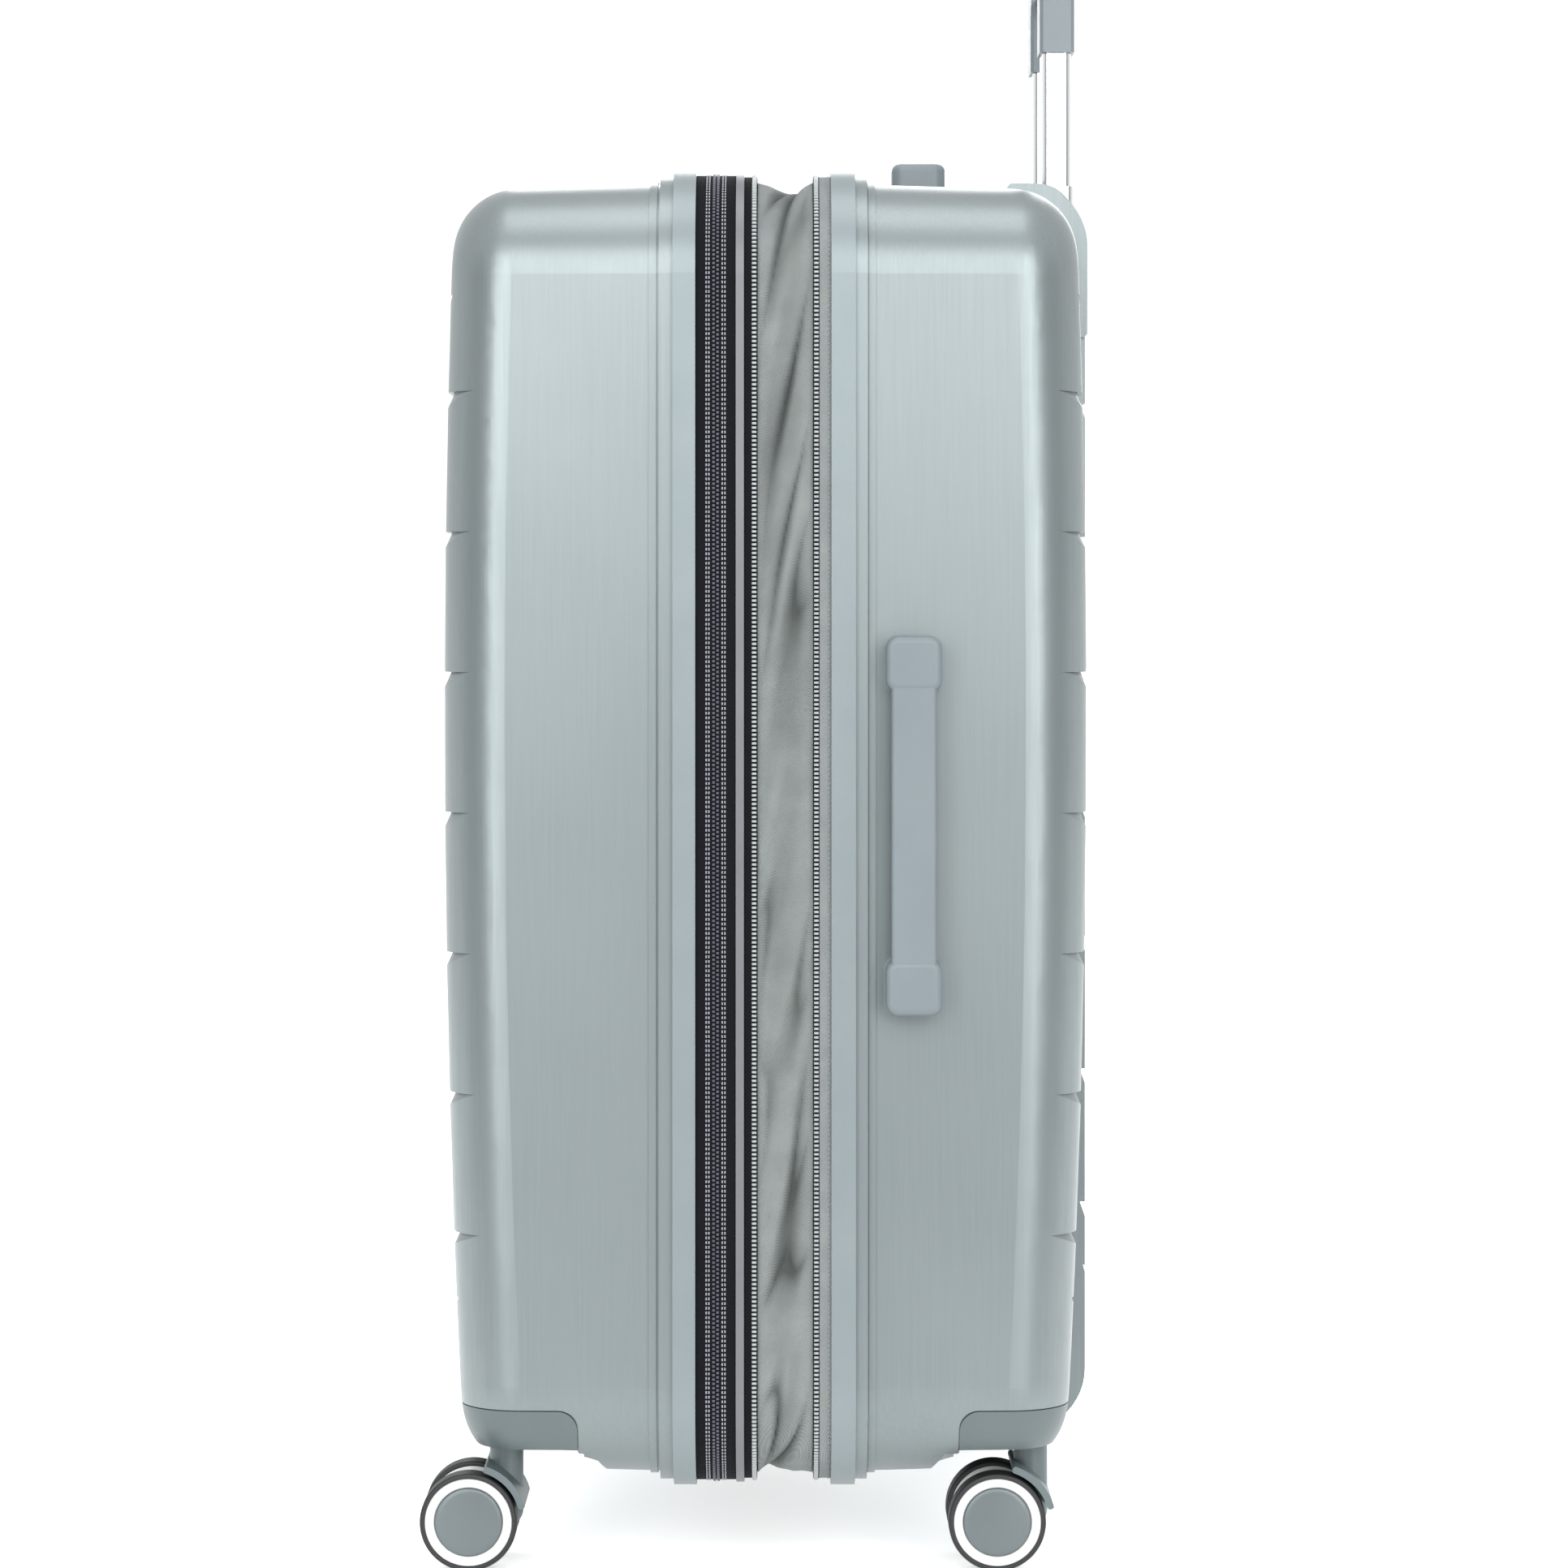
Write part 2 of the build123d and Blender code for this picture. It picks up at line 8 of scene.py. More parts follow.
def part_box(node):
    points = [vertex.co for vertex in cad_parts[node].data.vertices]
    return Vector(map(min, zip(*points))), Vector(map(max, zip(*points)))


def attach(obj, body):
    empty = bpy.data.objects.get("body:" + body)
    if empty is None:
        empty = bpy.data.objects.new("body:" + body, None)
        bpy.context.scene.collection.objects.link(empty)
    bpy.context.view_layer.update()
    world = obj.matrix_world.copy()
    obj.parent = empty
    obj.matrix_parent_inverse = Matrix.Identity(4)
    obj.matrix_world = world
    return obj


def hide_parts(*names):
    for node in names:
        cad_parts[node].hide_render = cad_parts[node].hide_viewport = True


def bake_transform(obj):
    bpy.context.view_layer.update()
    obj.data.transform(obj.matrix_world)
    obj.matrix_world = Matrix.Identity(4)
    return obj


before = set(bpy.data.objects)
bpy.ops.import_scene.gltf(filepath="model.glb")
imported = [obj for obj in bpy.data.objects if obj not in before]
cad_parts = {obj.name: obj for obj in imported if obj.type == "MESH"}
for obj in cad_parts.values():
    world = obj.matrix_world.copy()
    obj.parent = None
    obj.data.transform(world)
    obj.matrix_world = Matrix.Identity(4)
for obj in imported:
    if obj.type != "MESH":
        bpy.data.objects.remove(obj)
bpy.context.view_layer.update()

bl_info = {
    "name": "Hard Shell Suitcase",
    "version": (1, 0, 0),
    "blender": (4, 5, 0),
    "location": "View3D > Sidebar > Suitcase",
    "description": "Finishes, fabric, zips and wheels of an expanding hard shell suitcase",
    "category": "Object",
}

MM = 0.001
TAU = 2 * pi


# ---- places, worked out from the frame, and sizes ------------------------------------
def span(name, axis):
    """Lowest and highest value of a CAD node along one axis."""
    low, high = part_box(name)
    return low[axis], high[axis]


RIM_LOW, RIM_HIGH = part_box("lid_rim")
HALF_WIDTH = RIM_HIGH.y
HALF_HEIGHT = (RIM_HIGH.z - RIM_LOW.z) / 2
MID_Z = (RIM_HIGH.z + RIM_LOW.z) / 2
CORNER = 62 * MM
LID_ZIP = span("lid_zip", 0)
MID_ZIP = span("mid_zip", 0)
GUSSET = span("gusset", 0)
ZIP_MIDDLE = (LID_ZIP[1] + MID_ZIP[0]) / 2
CASTERS = ("front_near", "front_far", "rear_near", "rear_far")

# sizes of the pieces made here; a stitch is its half width, half length and rise
TOOTH_HALF_LENGTH = 0.7 * MM
STITCH = (0.42 * MM, 0.75 * MM, 0.45 * MM)
AXLE_HOLE = 3.05 * MM
CAP_RADIUS = 19.0 * MM
STRAP_FOOT = 102 * MM
STRAP_LENGTH = 638 * MM
STRAP_SPREAD = 95 * MM
HINGE_FOOT = 150 * MM
HINGE_LENGTH = 530 * MM
# the lining is inset 16 mm at its floor, and its mouth reaches these planes near the case's near side and top
LINING_INSET = 16 * MM
LINING_ROUND = 30 * MM
MOUTH_NEAR = -243 * MM
MOUTH_TOP = 776 * MM


def outline(inset):
    """Walk round the case's rounded outline: a function from distance to (point, outward normal)."""
    radius = CORNER - inset
    flat_y, flat_z = HALF_WIDTH - inset - radius, HALF_HEIGHT - inset - radius
    runs = []
    corners = ((flat_y, flat_z, 0), (-flat_y, flat_z, 1), (-flat_y, -flat_z, 2), (flat_y, -flat_z, 3))
    for y, z, quarter in corners:
        runs.append(("arc", y, z, quarter * pi / 2, radius * pi / 2))
        runs.append(("line", y, z, (quarter + 1) * pi / 2, 2 * (flat_z if quarter % 2 else flat_y)))
    total = sum(run[4] for run in runs)

    def at(distance):
        distance %= total
        for kind, y, z, angle, length in runs:
            if distance <= length:
                break
            distance -= length
        if kind == "arc":
            turned = angle + distance / radius
            normal = Vector((0, cos(turned), sin(turned)))
            return Vector((0, y, z + MID_Z)) + normal * radius, normal
        normal = Vector((0, cos(angle), sin(angle)))
        along = Vector((0, -normal.z, normal.y))
        return Vector((0, y, z + MID_Z)) + normal * radius + along * distance, normal

    return at, total


def set_round(inset, pitch, x, phase=0.0):
    """Places (centre, along, out) one pitch apart round the outline, at one X and inset."""
    at, total = outline(inset)
    count = round(total / pitch)
    places = []
    for k in range(count):
        point, out = at(total * (k + phase) / count)
        places.append((point + Vector((x, 0, 0)), Vector((0, -out.z, out.y)), out))
    return places


# ---- mesh helpers -----------------------------------------------------------------
def piece(name, verts, faces, material, body, smooth=True):
    """New object from a mesh, with its material, riding on a body."""
    mesh = bpy.data.meshes.new(name)
    mesh.from_pydata([tuple(v) for v in verts], [], faces)
    mesh.validate()
    work = bmesh.new()
    work.from_mesh(mesh)
    bmesh.ops.recalc_face_normals(work, faces=work.faces)
    work.to_mesh(mesh)
    work.free()
    for polygon in mesh.polygons:
        polygon.use_smooth = smooth
    mesh.materials.append(material)
    thing = bpy.data.objects.new(name, mesh)
    bpy.context.scene.collection.objects.link(thing)
    if body:
        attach(thing, body)
    return thing


def grid_faces(rows, columns, wrap=False):
    """Quads of a grid of points, closed round its columns if wrap is set."""
    faces = []
    for r in range(rows - 1):
        row, above = r * columns, (r + 1) * columns
        for c in range(columns if wrap else columns - 1):
            beside = (c + 1) % columns
            faces.append((row + c, row + beside, above + beside, above + c))
    return faces


def applied(thing, kind, **settings):
    """Add one modifier and apply it."""
    modifier = thing.modifiers.new(kind.title(), kind)
    for key, value in settings.items():
        setattr(modifier, key, value)
    bpy.context.view_layer.update()
    graph = bpy.context.evaluated_depsgraph_get()
    shaped = bpy.data.meshes.new_from_object(thing.evaluated_get(graph))
    thing.modifiers.clear()
    thing.data = shaped
    return thing


def studs(name, places, size, material, body):
    """Many small bevelled blocks; each place is (centre, along, out)."""
    verts, faces = [], []
    across_half, along_half, rise = size
    side = Vector((1, 0, 0))
    for centre, along, out in places:
        start = len(verts)
        for level, shrink in ((0.0, 1.0), (0.6, 1.0), (1.0, 0.6)):
            for u, v in ((-1, -1), (1, -1), (1, 1), (-1, 1)):
                offset = side * u * across_half * shrink + along * v * along_half * shrink
                verts.append(centre + offset + out * rise * level)
        for ring in (0, 4):
            for k in range(4):
                low, high = start + ring + k, start + ring + (k + 1) % 4
                faces.append((low, high, high + 4, low + 4))
        faces.append(tuple(start + 8 + k for k in range(4)))
    return piece(name, verts, faces, material, body, smooth=False)


def lathe(name, profile, centre, axis_sign, material, body, steps=72):
    """Turned shape about a line along Y; the profile is (radius, out) pairs."""
    verts = []
    for radius, out in profile:
        for k in range(steps):
            angle = TAU * k / steps
            verts.append(centre + Vector((radius * cos(angle), axis_sign * out, radius * sin(angle))))
    return piece(name, verts, grid_faces(len(profile), steps, wrap=True), material, body)


def band(name, rows, columns, spot, thickness, material, body):
    """Strip of cloth; spot gives the point at a share of its length and a share of its width."""
    verts = [spot(r / (rows - 1), c / (columns - 1)) for r in range(rows) for c in range(columns)]
    cloth = piece(name, verts, grid_faces(rows, columns), material, body)
    return applied(cloth, "SOLIDIFY", thickness=thickness, offset=0.0)


# ---- materials ----------------------------------------------------------------------
def hex_colour(text):
    """Linear colour from an sRGB hex value."""
    values = [int(text[i:i + 2], 16) / 255 for i in (1, 3, 5)]
    return tuple(v / 12.92 if v <= 0.04045 else ((v + 0.055) / 1.055) ** 2.4 for v in values) + (1.0,)


def add(tree, kind, inputs=(), **settings):
    """Add a node, set its properties, and fill or link its inputs."""
    made = tree.nodes.new(kind)
    for key, value in settings.items():
        setattr(made, key, value)
    for key, value in dict(inputs).items():
        if isinstance(value, bpy.types.NodeSocket):
            tree.links.new(value, made.inputs[key])
        else:
            made.inputs[key].default_value = value
    return made


def surface(name, **sockets):
    """New material with a Principled shader; returns it with its tree, shader and coordinates."""
    made = bpy.data.materials.new(name)
    made.use_nodes = True
    tree = made.node_tree
    shader = tree.nodes["Principled BSDF"]
    for key, value in sockets.items():
        shader.inputs[key.replace("_", " ")].default_value = value
    coordinates = add(tree, "ShaderNodeTexCoord").outputs["Object"]
    return made, tree, shader, coordinates


def raise_bump(tree, shader, height, depth_mm):
    """Use a height pattern as a bump of a real depth."""
    bump = add(tree, "ShaderNodeBump", {"Height": height, "Distance": depth_mm * MM})
    tree.links.new(bump.outputs["Normal"], shader.inputs["Normal"])


def colour_input(made, key):
    """Socket of a mix node by name, because its colour sockets share names with its number sockets."""
    return [s for s in made.inputs if s.name == key and s.type == "RGBA"][0]


def set_mix(tree, factor, first, second):
    """Mix two colours by a factor."""
    mix = add(tree, "ShaderNodeMix", data_type="RGBA")
    tree.links.new(factor, mix.inputs["Factor"])
    for key, value in (("A", first), ("B", second)):
        colour_input(mix, key).default_value = value
    return mix.outputs[2]


def satin_polycarbonate(colours):
    """Vacuum-formed polycarbonate with a metallic film: a silvery satin with fine upright grain."""
    made, tree, shader, coordinates = surface(
        "satin_polycarbonate", Metallic=0.75, Roughness=0.36, IOR=1.58, Coat_Weight=0.15, Coat_Roughness=0.3)
    # grain strokes 1.4 mm apart and 60 mm long, coarser than the real brushed film, in patches of 110 mm
    stretched = add(tree, "ShaderNodeMapping", {"Vector": coordinates, "Scale": (1, 1, 0.023)})
    grain = add(tree, "ShaderNodeTexNoise", {
        "Vector": stretched.outputs["Vector"], "Scale": 700.0, "Detail": 4.0})
    patches = add(tree, "ShaderNodeTexNoise", {"Vector": coordinates, "Scale": 9.0, "Detail": 2.0})
    share = add(tree, "ShaderNodeMath", {
        0: grain.outputs["Fac"], 1: patches.outputs["Fac"]}, operation="MULTIPLY")
    light, dark = hex_colour(colours.shell_light), hex_colour(colours.shell_dark)
    colour = set_mix(tree, share.outputs[0], light, dark)
    tree.links.new(colour, shader.inputs["Base Color"])
    gloss = add(tree, "ShaderNodeMapRange", {"Value": grain.outputs["Fac"], "To Min": 0.35, "To Max": 0.42})
    tree.links.new(gloss.outputs["Result"], shader.inputs["Roughness"])
    raise_bump(tree, shader, grain.outputs["Fac"], 0.03)
    return made


def moulded(name, light, dark, roughness, grit_mm=0.9, depth_mm=0.05, **sockets):
    """Injection-moulded plastic with a spark-eroded texture: an even, faintly pebbled sheen."""
    # the grit is drawn several times coarser than a real spark-eroded one, and the patches are 40 mm
    made, tree, shader, coordinates = surface(name, Roughness=roughness, IOR=1.53, **sockets)
    patches = add(tree, "ShaderNodeTexNoise", {"Vector": coordinates, "Scale": 24.0, "Detail": 3.0})
    tree.links.new(set_mix(tree, patches.outputs["Fac"], light, dark), shader.inputs["Base Color"])
    pebble = add(tree, "ShaderNodeTexNoise", {"Vector": coordinates, "Scale": 1000 / grit_mm, "Detail": 2.0})
    gloss = add(tree, "ShaderNodeMapRange", {
        "Value": pebble.outputs["Fac"], "To Min": roughness - 0.05, "To Max": roughness + 0.08})
    tree.links.new(gloss.outputs["Result"], shader.inputs["Roughness"])
    raise_bump(tree, shader, pebble.outputs["Fac"], depth_mm)
    return made


def woven(name, light, dark, thread_mm, slant=0.0, sheen=0.35, specular=0.4, painted_fold_shade=None):
    """Woven polyester: warp and weft threads show as a fine grid that softens the light."""
    # the threads are drawn coarser than real ones, which are about 0.4 mm apart, so that the weave shows
    made, tree, shader, coordinates = surface(
        name, Roughness=0.85, IOR=1.46, Sheen_Weight=sheen, Sheen_Roughness=0.5,
        Specular_IOR_Level=specular)
    parts = add(tree, "ShaderNodeSeparateXYZ", {"Vector": coordinates})
    # Y plus Z counts threads along the band on its flat runs, and X counts them across it
    run = add(tree, "ShaderNodeMath", {0: parts.outputs["Y"], 1: parts.outputs["Z"]}, operation="ADD")
    lean = add(tree, "ShaderNodeMath", {
        0: parts.outputs["X"], 1: slant, 2: run.outputs[0]}, operation="MULTIPLY_ADD")
    waves = []
    for source in (lean.outputs[0], parts.outputs["X"]):
        turns = add(tree, "ShaderNodeMath", {0: source, 1: TAU / (thread_mm * MM)}, operation="MULTIPLY")
        waves.append(add(tree, "ShaderNodeMath", {0: turns.outputs[0]}, operation="SINE").outputs[0])
    cloth = add(tree, "ShaderNodeMath", {0: waves[0], 1: waves[1]}, operation="MULTIPLY")
    level = add(tree, "ShaderNodeMapRange", {"Value": cloth.outputs[0], "From Min": -1.0})
    slub = add(tree, "ShaderNodeTexNoise", {"Vector": coordinates, "Scale": 60.0, "Detail": 5.0})
    lit = add(tree, "ShaderNodeMath", {
        0: level.outputs["Result"], 1: slub.outputs["Fac"]}, operation="MULTIPLY")
    colour = set_mix(tree, lit.outputs[0], dark, light)
    if painted_fold_shade:
        # painted shade: the cloth's colour darkens towards the fold colour by its fold value, standing in for
        # self-shadow in the creases
        painted_shade_amount = add(tree, "ShaderNodeAttribute", attribute_name="fold")
        deepen = add(tree, "ShaderNodeMix", {"Factor": painted_shade_amount.outputs["Fac"]}, data_type="RGBA")
        tree.links.new(colour, colour_input(deepen, "A"))
        colour_input(deepen, "B").default_value = painted_fold_shade
        colour = deepen.outputs[2]
    tree.links.new(colour, shader.inputs["Base Color"])
    raise_bump(tree, shader, level.outputs["Result"], 0.25)
    return made


def drawn_metal(name, colour, roughness):
    """Drawn or plated metal: bright, with hairlines along the length that stretch its highlights."""
    # hairlines 0.8 mm apart and 80 mm long, coarser than real die marks
    made, tree, shader, coordinates = surface(name, Metallic=1.0, Roughness=roughness)
    shader.inputs["Base Color"].default_value = colour
    stretched = add(tree, "ShaderNodeMapping", {"Vector": coordinates, "Scale": (1, 1, 0.01)})
    hairs = add(tree, "ShaderNodeTexNoise", {
        "Vector": stretched.outputs["Vector"], "Scale": 1250.0})
    gloss = add(tree, "ShaderNodeMapRange", {
        "Value": hairs.outputs["Fac"], "To Min": roughness * 0.7, "To Max": roughness * 1.5})
    tree.links.new(gloss.outputs["Result"], shader.inputs["Roughness"])
    raise_bump(tree, shader, hairs.outputs["Fac"], 0.02)
    return made


def make_materials(colours):
    """Every finish on the case, by name."""
    shade = {key: hex_colour(getattr(colours, key)) for key in colours.__annotations__}
    return {
        "shell": satin_polycarbonate(colours),
        "rim": moulded("moulded_abs_rim", shade["rim"], hex_colour("#757F81"), 0.38, Metallic=0.35),
        "strip": moulded("moulded_abs_strip", hex_colour("#6C6D71"), hex_colour("#606165"), 0.4,
                         Metallic=0.2),
        "trim": moulded("moulded_nylon_trim", shade["trim"], hex_colour("#6C777B"), 0.42, Metallic=0.2),
        "housing": moulded("moulded_abs_housing", shade["housing"], hex_colour("#545E60"), 0.4, Metallic=0.3),
        "handle": moulded("soft_touch_moulding", shade["handle"], hex_colour("#636D71"), 0.45),
        "grip": moulded("moulded_abs_grip", shade["handle"], hex_colour("#636D71"), 0.38),
        "fork": moulded("glass_filled_nylon", shade["fork"], hex_colour("#515B5D"), 0.4, Metallic=0.2),
        "tyre": moulded("polyurethane_tread", shade["tyre"], hex_colour("#0B0C0D"), 0.55, 1.2, 0.08),
        "ring": moulded("gloss_abs_ring", shade["ring"], hex_colour("#C6C8C6"), 0.22, Coat_Weight=0.3),
        "cap": moulded("moulded_abs_cap", shade["cap"], hex_colour("#596163"), 0.36, Metallic=0.4),
        "rubber": moulded("moulded_rubber", hex_colour("#4A4E51"), hex_colour("#3B3F42"), 0.75, 0.7, 0.08),
        "button": moulded("moulded_nylon_button", hex_colour("#4E555A"), hex_colour("#3F464B"), 0.42),
        "dial": moulded("turned_acetal", hex_colour("#DCDEDE"), hex_colour("#CDD0D0"), 0.3),
        "ink": moulded("printed_numerals", hex_colour("#202326"), hex_colour("#17191B"), 0.5),
        "lock": moulded("painted_zinc", hex_colour("#50565B"), hex_colour("#43494E"), 0.35, Metallic=0.5),
        "zip": woven("twill_zip_tape", shade["zip"], hex_colour("#090A0E"), 1.6, slant=1.0, sheen=0.0,
                     specular=0.2),
        "coil": moulded("nylon_zip_coil", hex_colour("#4C4E59"), hex_colour("#3E404A"), 0.4),
        "teeth": moulded("nylon_zip_teeth", hex_colour("#A4A8A9"), hex_colour("#8F9394"), 0.4),
        "thread": moulded("polyester_thread", hex_colour("#8C8E95"), hex_colour("#7A7C83"), 0.6),
        # the gusset's fold colour is painted shade, laid into the creases of the cloth
        "gusset": woven("woven_polyester_gusset", shade["gusset"], hex_colour("#6B706F"), 1.4, sheen=0.0,
                        painted_fold_shade=hex_colour("#434746")),
        "lining": woven("woven_polyester_lining", shade["lining"], hex_colour("#6F7478"), 2.4, slant=0.5,
                        sheen=0.5),
        "strap": woven("elastic_webbing", hex_colour("#33363C"), hex_colour("#22252A"), 2.0),
        "tube": drawn_metal("bright_anodised_aluminium", hex_colour("#E9EBEC"), 0.16),
        "sleeve": drawn_metal("mill_finish_aluminium", hex_colour("#B6B9BB"), 0.38),
        "zinc": drawn_metal("plated_zinc", hex_colour("#B9BDC0"), 0.25),
        "steel": drawn_metal("turned_steel", hex_colour("#A6A9AB"), 0.3),
    }


# the finish of a CAD node is the first one whose word is in the node's name
FINISH_OF = (
    ("hub", "ring"), ("tyre", "tyre"), ("axle", "steel"), ("fork", "fork"), ("housing", "housing"),
    ("_shell", "shell"), ("_rim", "rim"), ("mid_frame", "strip"), ("rear_expansion_zip", "gusset"),
    ("_zip", "zip"), ("gusset", "gusset"), ("runner", "rubber"), ("sleeves", "sleeve"), ("_tube_", "tube"),
    ("bezel", "shell"), ("_base", "trim"), ("trolley_grip", "grip"), ("_handle", "handle"),
    ("button", "button"), ("lock_body", "lock"), ("dial", "dial"), ("zip_pull", "zinc"),
)
finishes = {}


# ---- settings a user would change -----------------------------------------------------
def colour_setting(name, description, default):
    """One sRGB hex colour as text."""
    return bpy.props.StringProperty(name=name, description=description, default=default)


class SuitcaseColours(bpy.types.PropertyGroup):
    """Colours of the finishes, as sRGB hex values."""
    shell_light: colour_setting("Shell light", "Lit grain of the shell", "#808889")
    shell_dark: colour_setting("Shell dark", "Dark grain of the shell", "#6D7678")
    rim: colour_setting("Rims", "Moulded rims", "#7E8789")
    trim: colour_setting("Trim", "Bezel and handle plates", "#7C888C")
    housing: colour_setting("Caster housings", "Corner housings of the casters", "#5F696A")
    handle: colour_setting("Handles", "Carry handles and trolley grip", "#6E777B")
    fork: colour_setting("Caster forks", "Swivelling forks and fenders", "#5D6769")
    tyre: colour_setting("Treads", "Wheel treads", "#141517")
    ring: colour_setting("Wheel rings", "Bright rings of the wheels", "#D6D7D5")
    cap: colour_setting("Wheel caps", "Domed discs of the wheels", "#656D6F")
    zip: colour_setting("Zip tape", "Dark zip tape", "#101119")
    gusset: colour_setting("Gusset", "Expansion fabric", "#989E9C")
    lining: colour_setting("Lining", "Fabric inside the case", "#8A9094")


class SuitcaseSizes(bpy.types.PropertyGroup):
    """Sizes of the pieces made here."""
    tooth_pitch: bpy.props.FloatProperty(
        name="Tooth pitch", description="Distance from one zip tooth to the next", default=2.4 * MM,
        min=0.001, unit="LENGTH", precision=4)
    stitch_pitch: bpy.props.FloatProperty(
        name="Stitch pitch", description="Distance from one stitch to the next", default=2.6 * MM,
        min=0.001, unit="LENGTH", precision=4)
    gusset_sag: bpy.props.FloatProperty(
        name="Gusset sag", description="How far the expansion fabric pulls in", default=3.4 * MM,
        min=0, unit="LENGTH", precision=4)
    strap_width: bpy.props.FloatProperty(
        name="Strap width", description="Width of a packing strap", default=26 * MM, min=0.005, unit="LENGTH")


# ---- operators: one for each group of pieces ----------------------------------------------
class SUITCASE_OT_finishes(bpy.types.Operator):
    """Make the finishes and give every CAD piece its own"""
    bl_idname = "suitcase.finishes"
    bl_label = "Finishes"

    def execute(self, context):
        finishes.update(make_materials(context.scene.suitcase_colours))
        for name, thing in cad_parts.items():
            key = next(finish for part, finish in FINISH_OF if part in name)
            thing.data.materials.clear()
            thing.data.materials.append(finishes[key])
        return {"FINISHED"}


def lay_floor():
    """White floor that glows as painted light under and behind the case, and turns grey in front of it as
    painted shade.
    """
    paint, tree, shader, coordinates = surface("matt_floor_painted_glow_and_shade", Roughness=0.9)
    place = add(tree, "ShaderNodeSeparateXYZ", {"Vector": coordinates})
    # painted shade: between 0.35 and 1.3 m in front of the case the floor's colour turns from white to grey,
    # so the lower shell reflects a dimmer floor
    front = add(tree, "ShaderNodeMapRange", {
        "Value": place.outputs["Y"], "From Min": -0.35, "From Max": -1.3})
    floor_colour_painted_shade = set_mix(tree, front.outputs["Result"], hex_colour("#F6F7F7"), hex_colour("#B4B6B7"))
    # painted light: the floor glows with strength 0.6 under and behind the case, fading to none 0.8 m in
    # front, which lifts the case's shadow
    painted_glow = add(tree, "ShaderNodeMapRange", {
        "Value": place.outputs["Y"], "From Min": -0.8, "From Max": -0.1, "To Min": 0.0, "To Max": 0.6})
    tree.links.new(floor_colour_painted_shade, shader.inputs["Base Color"])
    tree.links.new(painted_glow.outputs["Result"], shader.inputs["Emission Strength"])
    shader.inputs["Emission Color"].default_value = hex_colour("#FFFFFF")
    reach = 60
    corners = [(-reach, -reach, 0), (reach, -reach, 0), (reach, reach, 0), (-reach, reach, 0)]
    piece("floor", corners, [(0, 1, 2, 3)], paint, None)


def paint_room(scene):
    """White wall behind and above the case, and a dimmer room in front of it."""
    world = bpy.data.worlds.new("studio")
    world.use_nodes = True
    tree = world.node_tree
    tree.nodes["Background"].inputs["Color"].default_value = hex_colour("#FBFCFD")
    toward = add(tree, "ShaderNodeTexCoord").outputs["Generated"]
    way = add(tree, "ShaderNodeSeparateXYZ", {"Vector": toward})
    rise = add(tree, "ShaderNodeMath", {
        0: way.outputs["Z"], 1: 1.1, 2: way.outputs["Y"]}, operation="MULTIPLY_ADD")
    wall = add(tree, "ShaderNodeMapRange", {
        "Value": rise.outputs[0], "From Min": -0.6, "From Max": 0.35, "To Min": 0.3, "To Max": 1.12})
    tree.links.new(wall.outputs["Result"], tree.nodes["Background"].inputs["Strength"])
    scene.world = world


def hang_lamps(scene):
    """Two upright strips that draw the shell's side highlights, and three soft boxes."""
    # name, place, aim, width, height, watts
    lamps = (
        ("left_strip", (-1.15, -2.4, 0.98), (-0.1, -0.2, 0.6), 0.7, 2.2, 32),
        ("right_strip", (1.2, -2.4, 0.98), (0.1, -0.2, 0.6), 0.7, 2.2, 32),
        ("front_box", (0.0, -2.2, 1.35), (0, -0.2, 0.75), 1.4, 1.2, 20),
        ("top_box", (0.0, -0.6, 2.6), (0, 0, 0.5), 1.6, 1.2, 14),
        ("back_strip", (0.3, 2.6, 1.6), (0, 0, 0.5), 1.4, 1.8, 40),
    )
    for name, place, aim, width, height, power in lamps:
        data = bpy.data.lights.new(name, "AREA")
        data.shape = "RECTANGLE"
        data.energy = power
        data.size, data.size_y = width, height
        lamp = bpy.data.objects.new(name, data)
        lamp.location = place
        lamp.rotation_euler = (Vector(aim) - Vector(place)).to_track_quat("-Z", "Y").to_euler()
        scene.collection.objects.link(lamp)


def set_camera(scene):
    """Level camera that looks along +Y at the case's near side."""
    lens = bpy.data.cameras.new("camera")
    lens.sensor_width = 36.0
    lens.lens = 107.7
    lens.shift_x = 0.003
    lens.shift_y = -0.099
    camera = bpy.data.objects.new("camera", lens)
    camera.location = (0.012, -2.855, 0.528)
    camera.rotation_euler = (pi / 2, 0, 0)
    scene.collection.objects.link(camera)
    scene.camera = camera


class SUITCASE_OT_stage(bpy.types.Operator):
    """Floor, room, soft lights and camera"""
    bl_idname = "suitcase.stage"
    bl_label = "Stage"

    def execute(self, context):
        lay_floor()
        paint_room(context.scene)
        context.scene.view_settings.view_transform = "Standard"
        hang_lamps(context.scene)
        set_camera(context.scene)
        return {"FINISHED"}


